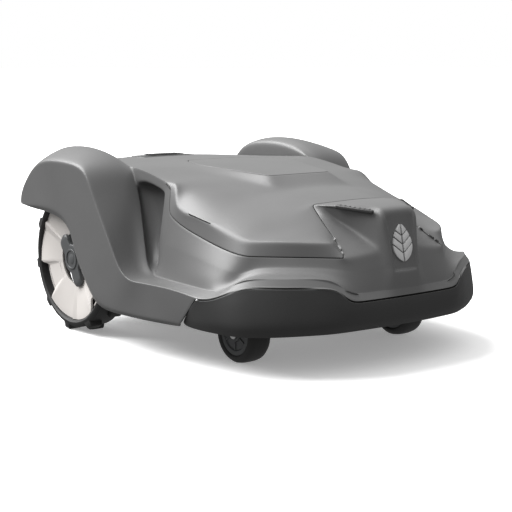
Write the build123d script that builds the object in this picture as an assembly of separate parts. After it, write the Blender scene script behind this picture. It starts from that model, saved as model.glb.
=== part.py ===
from build123d import *

import math
import os

# Robotic lawn mower, in millimetres.
# +Z is up and the mower drives towards -Y, so its left side is at +X. The origin is on the ground, under the
# middle of its footprint. The floating body rides over the chassis on four sprung mounts.

# Overall sizes
body_length = 720.0
body_width = 560.0
deck_height = 281.0  # top of the deck between the rear fenders

# Body panels
wall = 2.8
seam_gap = 0.9
bumper_thickness = 8.0
skirt_bottom = 60.0
apron_bottom = 150.0  # lower edge of the rear apron
body_shift = 6.0  # travel of the floating body when it bumps into something

# Rear wheels
wheel_radius = 122.5
wheel_width = 52.0
wheel_recess = 19.0  # from the fender's outer face to the wheel's
lug_height = 6.5
lug_count = 10  # on each side of the tread
lug_angle = 15.0
rim_radius = 104.0
dish_thickness = 9.0
axle_y = 186.0
axle_radius = 6.0
fender_gap = 46.0  # from the wheel to the top of its fender
fender_width = 90.0
fender_rise = 12.0  # how much higher the fender's inner crest is
motor_radius = 30.0
motor_length = 84.0

# Front casters
caster_radius = 46.0
caster_width = 40.0
caster_tread = 11.0  # thickness of the caster's tyre
caster_trail = 20.0
caster_x = 163.0
swivel_y = -191.0
swivel_radius = 6.0
caster_axle_radius = 5.0
leg_thickness = 5.0

# Chassis
chassis_bottom = 78.0
split_height = 150.0  # joint between the chassis base and its seal
chassis_top = 188.0
chassis_wall = 3.0
seal_thickness = 3.0
chassis_clearance = 15.0  # from the chassis to the rear wheels
chassis_rear = 300.0
battery_size = (140.0, 84.0, 46.0)
battery_y = 105.0
battery_lip = 8.0  # rebate round the battery hatch
board_size = (130.0, 60.0, 1.6)
board_y = -215.0
board_z = 122.0
handle_gap = 28.0  # finger room behind the chassis
handle_half = 58.0
handle_radius = 8.0
handle_z = 118.0
switch_size = (20.0, 12.0)
switch_y = 262.0

# Cutting system
cutting_y = -20.0
disc_radius = 95.0
disc_thickness = 3.5
disc_height = 63.0  # underside of the blade disc at the highest cut
shaft_radius = 5.0
blade_count = 3
blade_pivot_radius = 88.0
blade_reach = 32.0  # from a blade's pivot to its tip
blade_tail = 8.0
blade_width = 18.0
blade_thickness = 0.8
blade_screw_radius = 3.0
skid_radius = 62.0
housing_radius = 45.0
housing_height = 68.0
screw_offset = 62.0  # from the disc's axis to the height screw and to the guide rod
screw_radius = 4.0

# Hatch, stop button and control panel
hatch_width = 190.0
hatch_front = -105.0
hatch_front_half = 56.0
hatch_rear_half = 60.0
hatch_length = 230.0
hinge_setback = 24.0  # from the hatch's front edge to its hinge
hinge_drop = 12.5  # from the deck's height to the hinge
knuckle_radius = 2.6
pin_radius = 1.2
stop_size = (116.0, 48.0)
stop_y = 290.0
stop_proud = 4.0
stop_depth = 12.0
panel_size = (112.0, 138.0)
panel_height = 34.0
panel_setback = 22.0  # from the hatch's front edge to the control panel
key_radius = 9.0
dial_radius = 16.0

# Float mounts
post_spread = 95.0
post_ys = (-186.0, 130.0)
post_radius = 5.0
post_head = 8.0
post_rise = 16.0  # height of the collar that the float frame slides on
frame_thickness = 4.0
guide_ys = (-120.0, 80.0)
guide_radius = 6.0
guide_height = 24.0

# Clearances
running = 0.05  # radial clearance of a shaft in its bearing
loose = 0.5  # clearance round a moving part

# The styling lines are drawn for a body of this length and width, and stretch with it
drawn_length = 720.0
drawn_width = 560.0
along = body_length / drawn_length
across = body_width / drawn_width

# Places that follow from the sizes above
front_y = -body_length / 2
rear_y = body_length / 2
fender_x = body_width / 2
fender_inner_x = fender_x - fender_width
wheel_x = fender_x - wheel_recess  # outer face of the rear wheels
wheel_inner_x = wheel_x - wheel_width
wheel_mid_x = wheel_x - wheel_width / 2
chassis_half = wheel_inner_x - chassis_clearance
shoulder = 118.0  # ledge round the sides of the body
front_ledge = 138.0
nose_ledge = 115.0
cover_seam = 172.0  # front edge of the top cover
sides = (("left", 1), ("right", -1))
contact_y = swivel_y + caster_trail  # axle of the caster wheels
sweep_radius = math.hypot(caster_trail + caster_radius, caster_width / 2 + leg_thickness + 4) + 2
wing_bottom = 2 * caster_radius + 12
panel_y = hatch_front + panel_setback + panel_size[1] / 2
panel_top = chassis_top + panel_height
hinge_y = hatch_front + hinge_setback
hinge_z = deck_height - hinge_drop
housing_floor = disc_height + disc_thickness + 4
flange_z = housing_floor + housing_height
well_top = chassis_bottom + 8
collar_top = chassis_top + post_rise
frame_bottom = collar_top + 0.1
frame_top = frame_bottom + frame_thickness
cup_floor = deck_height + stop_proud - stop_depth - 15
post_places = [(x, y) for x in (-post_spread, post_spread) for y in post_ys]
guide_places = [(x, y) for x in (-post_spread, post_spread) for y in guide_ys]
screw_places = [(x * side, y) for side in (-1, 1) for x, y in
                ((60, -262), (138, -70), (chassis_half - 13, chassis_rear - 14), (chassis_half - 13, 104))]
key_places = {"start_key": (-34, -50), "power_key": (0, -54), "home_key": (34, -50)}
dial_place = (0, -10)
display_size = (72.0, 40.0, 2.0)
display_place = (0, 40)


# ---- Helpers ----


def inset(points, distance):
    """Moves every edge of a closed outline inwards by distance, and keeps its corners."""
    if distance == 0:
        return list(points)
    area = sum(a[0] * b[1] - b[0] * a[1] for a, b in zip(points, points[1:] + points[:1]))
    turn = 1 if area > 0 else -1
    lines = []
    for a, b in zip(points, points[1:] + points[:1]):
        dx, dy = b[0] - a[0], b[1] - a[1]
        size = math.hypot(dx, dy)
        nx, ny = -dy / size * turn, dx / size * turn
        lines.append((a[0] + nx * distance, a[1] + ny * distance, dx, dy))
    moved = []
    for (ax, ay, adx, ady), (bx, by, bdx, bdy) in zip(lines[-1:] + lines[:-1], lines):
        cross = adx * bdy - ady * bdx
        step = ((bx - ax) * bdy - (by - ay) * bdx) / cross if abs(cross) > 1e-6 else 1.0
        moved.append((ax + adx * step, ay + ady * step))
    return moved


def both_sides(half):
    """Closes a half outline, drawn from the front to the rear at positive X, with its mirror image."""
    return half + [(-x, y) for x, y in reversed(half) if x > 0]


def styled(half):
    """Stretches a half outline of the drawn body to the body's length and width."""
    return both_sides([(x * across, y * along) for x, y in half])


def ruled(wires):
    return Solid.make_loft(wires, True)


def plan_loft(levels):
    """Ruled solid through plan outlines, each given with its height."""
    return ruled([Wire.make_polygon([(x, y, z) for x, y in points], close=True) for z, points in levels])


def plan_prism(points, low, high):
    return extrude(Plane.XY.offset(low) * make_face(Polyline(*points, close=True)), high - low)


def side_prism(points, low_x, high_x):
    """Prism along X over an outline given as (y, z)."""
    face = make_face(Polyline(*[(low_x, y, z) for y, z in points], close=True))
    return extrude(face, high_x - low_x, dir=(1, 0, 0))


def front_prism(points, low_y, high_y):
    """Prism along Y over an outline given as (x, z)."""
    face = make_face(Polyline(*[(x, low_y, z) for x, z in points], close=True))
    return extrude(face, high_y - low_y, dir=(0, 1, 0))


def block(low, high):
    size = [b - a for a, b in zip(low, high)]
    middle = [(a + b) / 2 for a, b in zip(low, high)]
    return Pos(*middle) * Box(*size)


def post(x, y, low, high, radius):
    """Upright cylinder."""
    return Pos(x, y, (low + high) / 2) * Cylinder(radius, high - low)


def rod(x0, x1, y, z, radius):
    """Cylinder along X."""
    return Pos((x0 + x1) / 2, y, z) * Rot(0, 90, 0) * Cylinder(radius, abs(x1 - x0))


def rounded_plate(size_x, size_y, corner, low, high):
    sketch = Plane.XY.offset(low) * RectangleRounded(size_x, size_y, corner)
    return extrude(sketch, high - low)


# ---- Outer form of the body, moved inwards by t ----


def skirt(t, low):
    """Lower band of the body, with the shoulder along its sides and the ledges at the front."""
    bottom = styled([(0, -348), (105, -341), (192, -292), (228, -252), (246, -205), (254, -160), (264, -60),
                     (268, 20), (150, 30), (0, 30)])
    widest = styled([(0, -360), (107, -353), (200, -298), (236, -262), (256, -215), (265, -160), (276, -60),
                     (280, 20), (150, 30), (0, 30)])
    top = styled([(0, -350), (104, -343), (194, -290), (229, -255), (249, -210), (258, -160), (270, -60),
                  (276, 20), (150, 30), (0, 30)])
    levels = [(low, inset(bottom, t)), (100, inset(widest, t)), (front_ledge + 10, inset(top, t))]
    form = plan_loft(levels)
    side_cut = [(front_y - 9, front_ledge - t), (-250 * along, front_ledge - t), (-222 * along, shoulder - t),
                (60, shoulder - t), (60, 400), (front_y - 9, 400)]
    nose_cut = [(-107 * across, nose_ledge - t), (107 * across, nose_ledge - t),
                (130 * across, front_ledge - t),
                (130 * across, 400), (-130 * across, 400), (-130 * across, front_ledge - t)]
    form -= side_prism(side_cut, -fender_x - 9, fender_x + 9)
    return form - front_prism(nose_cut, front_y - 9, -318 * along)


def trunk(t, low):
    """Upright walls of the middle of the body, from the ledges up."""
    base = styled([(0, -346), (100, -339), (189, -286), (224, -248), (240, -205), (240, -160), (232, -60),
                   (224, 10), (214, 60), (204, 100), (203, 330), (180, 354), (0, 360)])
    seam = styled([(0, -330), (101, -328), (180, -252), (205, -226), (212, -190), (213, -150), (213, -80),
                   (208, 0), (205, 60), (202, 100), (201, 326), (176, 350), (0, 356)])
    top = styled([(0, -318), (95, -316), (175, -246), (198, -221), (206, -190), (210, -150), (211, -80),
                  (204, 0), (200, 60), (200, 100), (199, 322), (172, 345), (0, 351)])
    levels = [(low, base), (shoulder, base), (cover_seam, seam), (240, top), (330, top)]
    return plan_loft([(z, inset(points, t)) for z, points in levels])


def crown(t):
    """Everything under the curved top of the body."""
    stations = [
        (-380, [(120, 148), (60, 148)], 148), (-335, [(120, 176), (60, 176)], 178),
        (-317, [(119, 193), (60, 188)], 190), (-284, [(147, 195), (83, 202)], 208),
        (-225, [(197, 192), (110, 225)], 246), (-124, [(209, 217), (110, 248)], 262),
        (-65, [(212, 231), (110, 261)], 270), (0, [(205, 262), (110, 273)], 278),
        (97, [(190, 279), (110, 281)], deck_height + 1), (316, [(190, 272), (110, 278)], deck_height),
        (346, [(190, 228), (110, 236)], 239), (380, [(190, 150), (110, 154)], 156),
    ]
    wires = []
    for y, slope, middle in stations:
        edge = slope[0][1] - 6
        half = [(320, 10), (320, edge)] + slope
        points = [(x * across, z - (t if z > 10 else 0)) for x, z in half] + [(0, middle - t)]
        points += [(-x, z) for x, z in reversed(points[:-1])]
        wires.append(Wire.make_polygon([(x, y * along, z) for x, z in points], close=True))
    return ruled(wires)


def plateau(t):
    """Raised field round the hatch."""
    rise = [(-150, 248), (-118, 273), (-60, 277), (40, 284), (110, 285), (150, 276), (150, 200), (-150, 200)]
    outline = styled([(0, -150), (70, -150), (112, 40), (72, 150), (0, 150)])
    form = side_prism(inset([(y * along, z) for y, z in rise], t), -fender_x, fender_x)
    return form & plan_prism(inset(outline, t), 200, 300)


def nose(t):
    """Block between the front wings, and the wings' overhanging top."""
    side = [(-225, 150), (-349, 150), (-346, 165), (-331, 238), (-325, 241), (-276, 245), (-225, 242)]
    block_form = side_prism(inset([(y * along, z) for y, z in side], t), -(36 - t) * across,
                            (36 - t) * across)
    wings = styled([(0, -327), (34, -326), (84, -262), (86, -250), (75, -225), (0, -218)])
    return block_form + plan_prism(inset(wings, t), 170, 240 - t)


def fender(t, low):
    """Arch over one rear wheel, on the left. Its lines are drawn from the axle."""
    top = wheel_radius + fender_gap
    inner_top = top + fender_rise
    outer = [(-217, shoulder - wheel_radius), (-194, 5), (-166, 46), (-122, 105), (-89, top - 17),
             (-61, top - 5),
             (5, top), (72, top - 6), (134, 108), (148, 79)]
    inner = [(-217, shoulder - wheel_radius), (-188, 13), (-151, 64), (-124, 108), (-89, inner_top - 22),
             (-46, inner_top - 10), (19, inner_top), (99, inner_top - 5), (152, 118), (170, 79)]

    def outline(points, x):
        spots = [(axle_y + y, wheel_radius + z) for y, z in points]
        spots += [(spots[-1][0], low), (spots[0][0], low)]
        return Wire.make_polygon([(x, y, z) for y, z in inset(spots, t)], close=True)

    form = ruled([outline(inner, fender_inner_x + t), outline(outer, fender_x - t)])
    plan = [(fender_inner_x - 20, -60), (fender_x - 5, -60), (fender_x, 20), (fender_x, axle_y),
            (fender_x - 16, rear_y), (fender_inner_x - 20, rear_y)]
    return form & plan_prism(inset(plan, t), low, 400)


def waist(t):
    """Deep pocket between the left fender and the middle of the body."""
    pocket = [(168, 22), (186, -2), (212, -14), (260, -14), (260, 44), (206, 50), (186, 46)]
    low, high = 126, 258
    return plan_prism(inset([(x * across, y * along) for x, y in pocket], -t), low - t, high + t)


def body_form(t=0.0, low=skirt_bottom):
    middle = trunk(t, low) & crown(t)
    middle += plateau(t)
    middle += nose(t)
    middle += skirt(t, low)
    for _, side in sides:
        pocket = waist(t)
        arch = fender(t, low)
        if side < 0:
            pocket = mirror(pocket, Plane.YZ)
            arch = mirror(arch, Plane.YZ)
        middle -= pocket
        middle += arch
    return middle


def wheel_openings():
    """Space cut out of the body round the rear wheels and under its rear apron."""
    arch_top = wheel_radius + 79.5
    shape = [(rear_y + 9, arch_top), (axle_y + 10, arch_top), (axle_y - 24, arch_top - 17),
             (axle_y - 54, wheel_radius + 4), (axle_y - 88, wheel_radius - 37), (axle_y - 115, skirt_bottom
                     + 1), (axle_y - 115, 0), (rear_y + 9, 0)]
    cut = block((-chassis_half, axle_y - 110, 0), (chassis_half, rear_y + 9, apron_bottom))
    for _, side in sides:
        cut += side_prism(shape, *sorted((side * 150 * across, side * (fender_x + 9))))
    return cut


def cover_region(margin=0.0):
    """Space that holds the top cover: above its side seams, behind the nose and between the fenders."""
    seam = [(front_y - 9, cover_seam), (-226, cover_seam), (-150, 185), (-80, 203), (-43, 218), (-32, 256),
            (0, 264), (97, 268), (318, 240), (330, 400), (front_y - 9, 400)]
    above = side_prism(inset([(y if abs(y) > 350 else y * along, z) for y, z in seam], margin), -fender_x,
                       fender_x)
    nose_plan = styled([(0, -380), (104, -380), (101, -328), (75, -225), (0, -216)])
    above -= plan_prism(inset(nose_plan, -margin), 100, 400)
    for _, side in sides:
        low, high = sorted((side * (fender_inner_x - 3 - margin), side * 400))
        above -= block((low, 76 * along - margin, 100), (high, rear_y + 9, 400))
    return above


def bumper_region(margin=0.0):
    """Space that holds the front bumper, under the ledges and ahead of its slanted ends."""
    top = [(front_y - 9, front_ledge - 3), (-253 * along, front_ledge - 3), (-226 * along, shoulder - 3.5),
           (-186 * along, shoulder - 3.5), (-138 * along, 0), (front_y - 9, 0)]
    region = side_prism(inset(top, margin), -fender_x - 9, fender_x + 9)
    nose_cut = [(-107 * across, nose_ledge - 3), (107 * across, nose_ledge - 3),
                (130 * across, front_ledge - 3),
                (130 * across, 200), (-130 * across, 200), (-130 * across, front_ledge - 3)]
    return region - front_prism(inset(nose_cut, -margin), front_y - 9, -318 * along)


def hatch_outline(shrink=0.0):
    half = hatch_width / 2
    back = hatch_front + hatch_length
    # The sides run straight past the hinge so the lid swings clear of the cover
    straight = hinge_y + hinge_drop + 5
    points = [(0, hatch_front), (hatch_front_half, hatch_front), (hatch_front_half, straight),
              (half, hatch_front + hatch_length * 0.62), (hatch_rear_half, back), (0, back)]
    return inset(both_sides(points), shrink)


def chassis_outline():
    points = [(0, -276), (70, -276), (104, -256), (196, -214), (196, -162), (150, -96), (150, 56),
              (chassis_half, 94), (chassis_half, chassis_rear), (0, chassis_rear)]
    return both_sides(points)


# ---- Floating body ----


def guide_boss(x, y, room):
    """Sleeve under the top cover that slides on a stud of the float frame."""
    boss = post(x, y, frame_top + 0.1, 320, guide_radius + 3) & room
    return boss - post(x, y, frame_top, frame_top + guide_height + 2, guide_radius + running)


def hinge_brackets():
    """Arms under the hatch that carry its hinge pins."""
    arms = None
    foot = hatch_front_half + 14
    for _, side in sides:
        low = hinge_z - 6
        arm = block((side * 60 - 15, hinge_y - 0.5, low), (side * 60 + 15, hinge_y + 4.5, hinge_z))
        arm += rod(side * 45, side * 51, hinge_y, hinge_z, knuckle_radius - 0.1)
        arm += block((side * foot - 4, hinge_y - 0.5, low), (side * foot + 4, hinge_y + 4.5, hinge_z + 9))
        arm -= rod(side * 40, side * 56, hinge_y, hinge_z, pin_radius)
        arms = arm if arms is None else arms + arm
    return arms


def body_panels():
    outer = body_form(0.0, skirt_bottom)
    room = body_form(wall, -20)
    shell = outer - room - wheel_openings()
    cover = shell & cover_region(seam_gap)
    body = shell - cover_region() - bumper_region()
    # A flange behind the bumper carries it
    flange = body_form(bumper_thickness, skirt_bottom + 6) - body_form(bumper_thickness + wall, -20)
    body += (flange & bumper_region(-wall)) - cover_region()
    bumper = (outer - body_form(bumper_thickness, -20)) & bumper_region(seam_gap)

    stop_length, stop_width = stop_size
    stop_hole = rounded_plate(stop_length + 2 * loose, stop_width + 2 * loose, 14, cup_floor + wall, 320)
    stop_hole = Pos(0, stop_y) * stop_hole
    cup = Pos(0, stop_y) * rounded_plate(stop_length + 2 * wall, stop_width + 2 * wall, 16, cup_floor, 320)
    cover += cup & room
    cover -= stop_hole
    cover -= post(0, stop_y, cup_floor - 5, cup_floor + wall + 5, 8 + running)
    hatch = cover & plan_prism(hatch_outline(seam_gap), 180, 320)
    cover -= plan_prism(hatch_outline(), 180, 320)
    for x, y in guide_places:
        cover += guide_boss(x, y, room)
    cover += hinge_brackets() & room
    for _, side in sides:
        knuckle = rod(side * 30, side * 44, hinge_y, hinge_z, knuckle_radius)
        web = block((side * 37 - 7, hinge_y - 1.5, hinge_z), (side * 37 + 7, hinge_y + 1.5, hinge_z + 4.5))
        knuckle += web
        hatch += knuckle - rod(side * 28, side * 46, hinge_y, hinge_z, pin_radius + running)

    badge_hole = nose_badge(loose)
    return {"body_shell": body - badge_hole, "top_cover": cover, "front_bumper": bumper, "hatch": hatch}


def nose_badge(grow=0.0):
    """Plain leaf-shaped badge let into the front of the nose."""
    half = 13 + grow
    low, high = 166 - grow, 212 + grow
    leaf = [(-half, low + 12), (-half, high), (half * 0.2, high), (half, high - 14), (half, low),
            (-half * 0.2, low)]
    return front_prism([(x * across, z) for x, z in leaf], -352 * along, -332 * along)


def floating_body():
    panels = body_panels()
    badge = nose_badge()
    slab = nose(-0.6) - nose(wall)
    panels["nose_badge"] = badge & slab
    strips = None
    for _, side in sides:
        strip = plan_prism([(side * 41, -316), (side * 80, -267), (side * 76, -263), (side * 41, -307)],
                           240, 241.4)
        for k in range(9):
            share = k / 8
            strip += Pos(side * (45 + 30 * share), -306 + 37 * share, 241.8) * Rot(0, 0, side * 38) * Box(6,
                    1.6, 1.4)
        strips = strip if strips is None else strips + strip
    panels["contact_strips"] = strips
    pins = [rod(side * 29, side * 52, hinge_y, hinge_z, pin_radius) for _, side in sides]
    panels["hatch_pins"] = Compound(pins)
    button = Pos(0, stop_y) * rounded_plate(*stop_size, 14, deck_height + stop_proud - stop_depth,
                                            deck_height + stop_proud)
    button += post(0, stop_y, cup_floor - 5, deck_height + stop_proud - 2, 8)
    panels["stop_button"] = button
    panels["stop_boot"] = bellows(0, stop_y, cup_floor + wall, deck_height + stop_proud - stop_depth, 9, 14,
                                  3)
    return panels


def bellows(x, y, low, high, inner, outer, folds):
    """Rubber boot with a folded wall."""
    step = (high - low) / (2 * folds)
    thick = 1.6
    line = [(inner if k % 2 == 0 else outer - thick, low + k * step) for k in range(2 * folds + 1)]
    points = line + [(r + thick, z) for r, z in reversed(line)]
    face = make_face(Polyline(*[(r, 0, z) for r, z in points], close=True))
    return Pos(x, y, 0) * revolve(face, Axis.Z)


def float_frame():
    """Frame that carries the body, slides along the chassis and lets the body lift off it."""
    low_y, high_y = post_ys[0] - 14, post_ys[1] + 14
    half = post_spread + 14
    frame = block((-half, low_y, frame_bottom), (half, high_y, frame_top))
    frame -= block((-half + 36, low_y + 92, frame_bottom - 1), (half - 36, high_y - 66, frame_top + 1))
    slot_half = body_shift + post_radius + loose
    for x, y in post_places:
        slot = Plane.XY.offset(frame_bottom - 1) * SlotOverall(2 * slot_half, 2 * (post_radius + loose),
                rotation=90)
        frame -= Pos(x, y, 0) * extrude(slot, frame_thickness + 2)
    for x, y in guide_places:
        frame += post(x, y, frame_bottom, frame_top + guide_height, guide_radius)
    return frame


def suspension_posts():
    posts = []
    for x, y in post_places:
        mount = post(x, y, chassis_top, collar_top, post_radius + 4)
        mount += post(x, y, chassis_top, frame_top + 1, post_radius)
        mount += post(x, y, frame_top + 0.5, frame_top + 5, post_head)
        posts.append(mount)
    return Compound(posts)


# ---- Chassis ----


def caster_cut(grow=0.0):
    """Room for both casters to swivel under the chassis wings."""
    cut = None
    for _, side in sides:
        piece = post(side * caster_x, swivel_y, 0, wing_bottom + grow, sweep_radius + grow)
        cut = piece if cut is None else cut + piece
    return cut


def chassis_base():
    outline = chassis_outline()
    floor = chassis_bottom + chassis_wall
    base = plan_prism(outline, chassis_bottom, split_height) - caster_cut()
    base -= plan_prism(inset(outline, chassis_wall), floor, split_height + 1) - caster_cut(chassis_wall)
    for _, side in sides:
        base += post(side * caster_x, swivel_y, wing_bottom, wing_bottom + 34, swivel_radius + 8)
        base -= post(side * caster_x, swivel_y, wing_bottom - 1, wing_bottom + 30, swivel_radius + running)
        base -= rod(side * (chassis_half - 9), side * (chassis_half + 9), axle_y, wheel_radius,
                    motor_radius * 0.6)
        for x in (100, 160):
            cradle = block((side * x - 3, axle_y - motor_radius, floor),
                           (side * x + 3, axle_y + motor_radius, wheel_radius - 8))
            base += cradle - rod(side * (x - 5), side * (x + 5), axle_y, wheel_radius, motor_radius)
    base += post(0, cutting_y, chassis_bottom, well_top, housing_radius + 7)
    base -= post(0, cutting_y, chassis_bottom - 1, well_top + 1, housing_radius + 1.5)
    base += post(screw_offset, cutting_y, chassis_bottom, floor + 9, screw_radius + 4)
    base -= post(screw_offset, cutting_y, floor + 3, floor + 10, screw_radius + running)
    base += post(-screw_offset, cutting_y, chassis_bottom, floor + 9, screw_radius + 4)
    base -= post(-screw_offset, cutting_y, floor, floor + 10, screw_radius)
    length, width, _ = battery_size
    lip = battery_lip
    base -= Pos(0, battery_y) * Pos(0, 0, floor - 1) * Box(length + 10, width + 10, 9)
    base -= Pos(0, battery_y, chassis_bottom) * Box(length + 10 + 2 * lip, width + 10 + 2 * lip, 4)
    for x, y in battery_screw_places():
        base += post(x, y, chassis_bottom + 2, floor + 9, 3.5)
        base -= post(x, y, chassis_bottom - 1, floor + 6, 1.5)
    for x, y in screw_places:
        base += post(x, y, floor, split_height, 6)
        base -= post(x, y, split_height - 20, split_height + 1, 2.5)
    for x, y in board_places():
        base += post(x, y, floor, board_z, 3)
    depth, half_x, half_y = 14, switch_size[0] / 2, switch_size[1] / 2
    base += block((-half_x - 5, switch_y - half_y - 5, floor),
                  (half_x + 5, switch_y + half_y + 5, floor + depth))
    base -= block((-half_x - 1, switch_y - half_y - 2, chassis_bottom - 1),
                  (half_x + 1, switch_y + half_y + 2, floor + depth - 3))
    base -= rod(-half_x - 3, half_x + 3, switch_y, chassis_bottom + 7, 1.5 + running)
    return base


def battery_screw_places():
    length, width, _ = battery_size
    x, y = (length + 10 + battery_lip) / 2, (width + 10 + battery_lip) / 2
    return [(sx * x, battery_y + sy * y) for sx in (-1, 1) for sy in (-1, 1)]


def board_places():
    x, y = board_size[0] / 2 - 6, board_size[1] / 2 - 6
    return [(sx * x, board_y + sy * y) for sx in (-1, 1) for sy in (-1, 1)]


def chassis_cover():
    outline = chassis_outline()
    low = split_height + seal_thickness
    cover = plan_prism(outline, low, chassis_top)
    cover -= plan_prism(inset(outline, chassis_wall), low - 1, chassis_top - chassis_wall)
    for x, y in screw_places:
        cover += post(x, y, split_height, chassis_top, 6)
        cover -= post(x, y, split_height - 1, chassis_top + 1, 2.5)
    return cover


def chassis_pieces():
    outline = chassis_outline()
    seal = plan_prism(outline, split_height, split_height + seal_thickness)
    seal -= plan_prism(inset(outline, chassis_wall), split_height - 1, split_height + seal_thickness + 1)
    for x, y in screw_places:
        seal -= post(x, y, split_height - 1, split_height + seal_thickness + 1, 6)
    screws = [post(x, y, split_height - 20, chassis_top, 2.5)
              + post(x, y, chassis_top, chassis_top + 3, 4.5) for x, y in screw_places]
    length, width, height = battery_size
    battery = Pos(0, battery_y, chassis_bottom + 2 + height / 2) * Box(length, width, height)
    battery = fillet(battery.edges().filter_by(Axis.Z), 8)
    lid = Pos(0, battery_y, chassis_bottom + 1) * Box(length + 9 + 2 * battery_lip, width + 9
            + 2 * battery_lip, 2)
    lid_screws = []
    for x, y in battery_screw_places():
        lid -= post(x, y, chassis_bottom - 1, chassis_bottom + 3, 1.5)
        lid_screws.append(post(x, y, chassis_bottom, chassis_bottom + 8, 1.5)
                          + post(x, y, chassis_bottom - 1.2, chassis_bottom, 3))
    board = Pos(0, board_y, board_z + board_size[2] / 2) * Box(*board_size)
    for x, y, size, tall in ((-30, -8, 22, 4), (10, 6, 16, 3), (38, -6, 12, 9), (-46, 14, 10, 12)):
        board += Pos(x, board_y + y, board_z + board_size[2] + tall / 2) * Box(size, size * 0.7, tall)
    return {
        "chassis_base": chassis_base(), "chassis_cover": chassis_cover(), "chassis_seal": seal,
        "chassis_screws": Compound(screws), "battery_pack": battery, "battery_cover": lid,
        "battery_cover_screws": Compound(lid_screws), "main_board": board, "carry_handle": carry_handle(),
        "main_switch": main_switch(), "suspension_posts": suspension_posts(), "float_frame": float_frame(),
    }


def carry_handle():
    """Grip behind the chassis."""
    y = chassis_rear + handle_gap + handle_radius
    reach = handle_half + handle_radius
    handle = rod(-reach, reach, y, handle_z, handle_radius)
    for _, side in sides:
        arm = Pos(side * handle_half, (chassis_rear + y) / 2, handle_z) * Box(2 * handle_radius,
                y - chassis_rear, 2 * handle_radius)
        handle += arm
    return handle


def main_switch():
    """Rocker in the underside of the chassis."""
    half = switch_size[0] / 2
    axis_z = chassis_bottom + 7
    rocker = rod(-half, half, switch_y, axis_z, 6)
    rocker += block((-half, switch_y - 6.4, axis_z - 3.5), (half, switch_y + 6.4, axis_z))
    return rocker + rod(-half - 2.6, half + 2.6, switch_y, axis_z, 1.5)


def control_panel():
    low, high = chassis_top, panel_top
    panel = Pos(0, panel_y) * rounded_plate(*panel_size, 10, low, high)
    x, y = display_place
    panel -= Pos(x, panel_y + y, high) * Box(display_size[0], display_size[1], 2 * display_size[2])
    pieces = {"display": Pos(x, panel_y + y, high - display_size[2] / 2) * Box(*display_size)}
    for name, (x, y) in key_places.items():
        panel -= post(x, panel_y + y, high - 7, high + 1, key_radius + loose)
        panel -= post(x, panel_y + y, high - 16, high, 4 + running)
        cap = post(x, panel_y + y, high - 5, high + 2, key_radius)
        pieces[name] = cap + post(x, panel_y + y, high - 14, high, 4)
    x, y = dial_place
    panel -= post(x, panel_y + y, high - 6, high + 1, dial_radius + loose)
    panel -= post(x, panel_y + y, high - 16, high, 4 + running)
    dial = post(x, panel_y + y, high - 5.5, high + 4, dial_radius) + post(x, panel_y + y, high - 15, high, 4)
    for k in range(12):
        angle = 2 * math.pi * k / 12
        dial -= post(x + dial_radius * math.cos(angle), panel_y + y + dial_radius * math.sin(angle),
                     high + 0.5, high + 5, 2)
    pieces["selector_dial"] = dial
    pieces["control_panel"] = panel
    return pieces


# ---- Wheels ----


def ring_around_x(profile):
    """Solid of revolution about the X axis from an (x, radius) outline."""
    return revolve(make_face(Polyline(*[(x, r, 0) for x, r in profile], close=True)), Axis.X)


def rear_wheel(side):
    """Tyre, rim, hub cap, axle and drive motor of one rear wheel, in place."""
    half = wheel_width / 2
    tread = wheel_radius - lug_height
    tyre = ring_around_x([(-half + 3, rim_radius), (half - 3, rim_radius), (half, rim_radius + 4),
                          (half, tread - 5),
                          (half - 6, tread), (-half + 6, tread), (-half, tread - 5), (-half, rim_radius + 4)])
    for row in (-1, 1):
        low, high = sorted((row * 1.5, row * half))
        lugs = ring_around_x([(low, tread - 5), (high, tread - 5), (high, wheel_radius), (low, wheel_radius)])
        for k in range(lug_count):
            angle = -90 + 360 * (k + (0.5 if row > 0 else 0)) / lug_count
            reach = 2 * wheel_radius
            spread = math.radians(lug_angle / 2)
            wedge = [(low, 0, 0), (low, reach * math.cos(spread), -reach * math.sin(spread)),
                     (low, reach * math.cos(spread), reach * math.sin(spread))]
            sector = extrude(make_face(Polyline(*wedge, close=True)), high - low, dir=(1, 0, 0))
            tyre += lugs & (Rot(angle, 0, 0) * sector)
    dish = 0.35 * wheel_width
    rim = ring_around_x([(-half + 4, rim_radius - 4), (-half + 4, rim_radius), (half - 3, rim_radius),
                         (half - 3, rim_radius - 4),
                         (half - dish, 50), (half - dish, axle_radius), (-half + 2, axle_radius), (-half
                                 + 2, 18),
                         (half - dish - dish_thickness, 24), (half - dish - dish_thickness, 54), (half - 12,
                                 rim_radius - 4)])
    cap = ring_around_x([(half - dish, 0), (half - dish, 38), (half - 6, 34), (half - 4, 26), (half - 4, 0)])
    for k in range(3):
        angle = math.radians(45 + 120 * k)
        cap += Pos(half - dish + 5, 34 * math.cos(angle), 34 * math.sin(angle)) * Rot(0, 90,
                0) * Cylinder(13, 10)
    inner = chassis_half - motor_length - wheel_mid_x
    axle = rod(inner + 30, half - dish, 0, 0, axle_radius)
    nose_end = wheel_inner_x - 6 - wheel_mid_x
    motor = rod(inner, chassis_half - chassis_wall - wheel_mid_x, 0, 0, motor_radius)
    motor += rod(chassis_half - 10 - wheel_mid_x, nose_end, 0, 0, motor_radius * 0.6)
    motor -= rod(inner + 28, nose_end + 1, 0, 0, axle_radius + running)
    pieces = {"rear_tyre": tyre, "rear_rim": rim, "hub_cap": cap, "drive_axle": axle, "drive_motor": motor}
    place = Pos(wheel_mid_x, axle_y, wheel_radius)
    placed = {name: place * piece for name, piece in pieces.items()}
    return placed if side > 0 else {name: mirror(piece, Plane.YZ) for name, piece in placed.items()}


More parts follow.
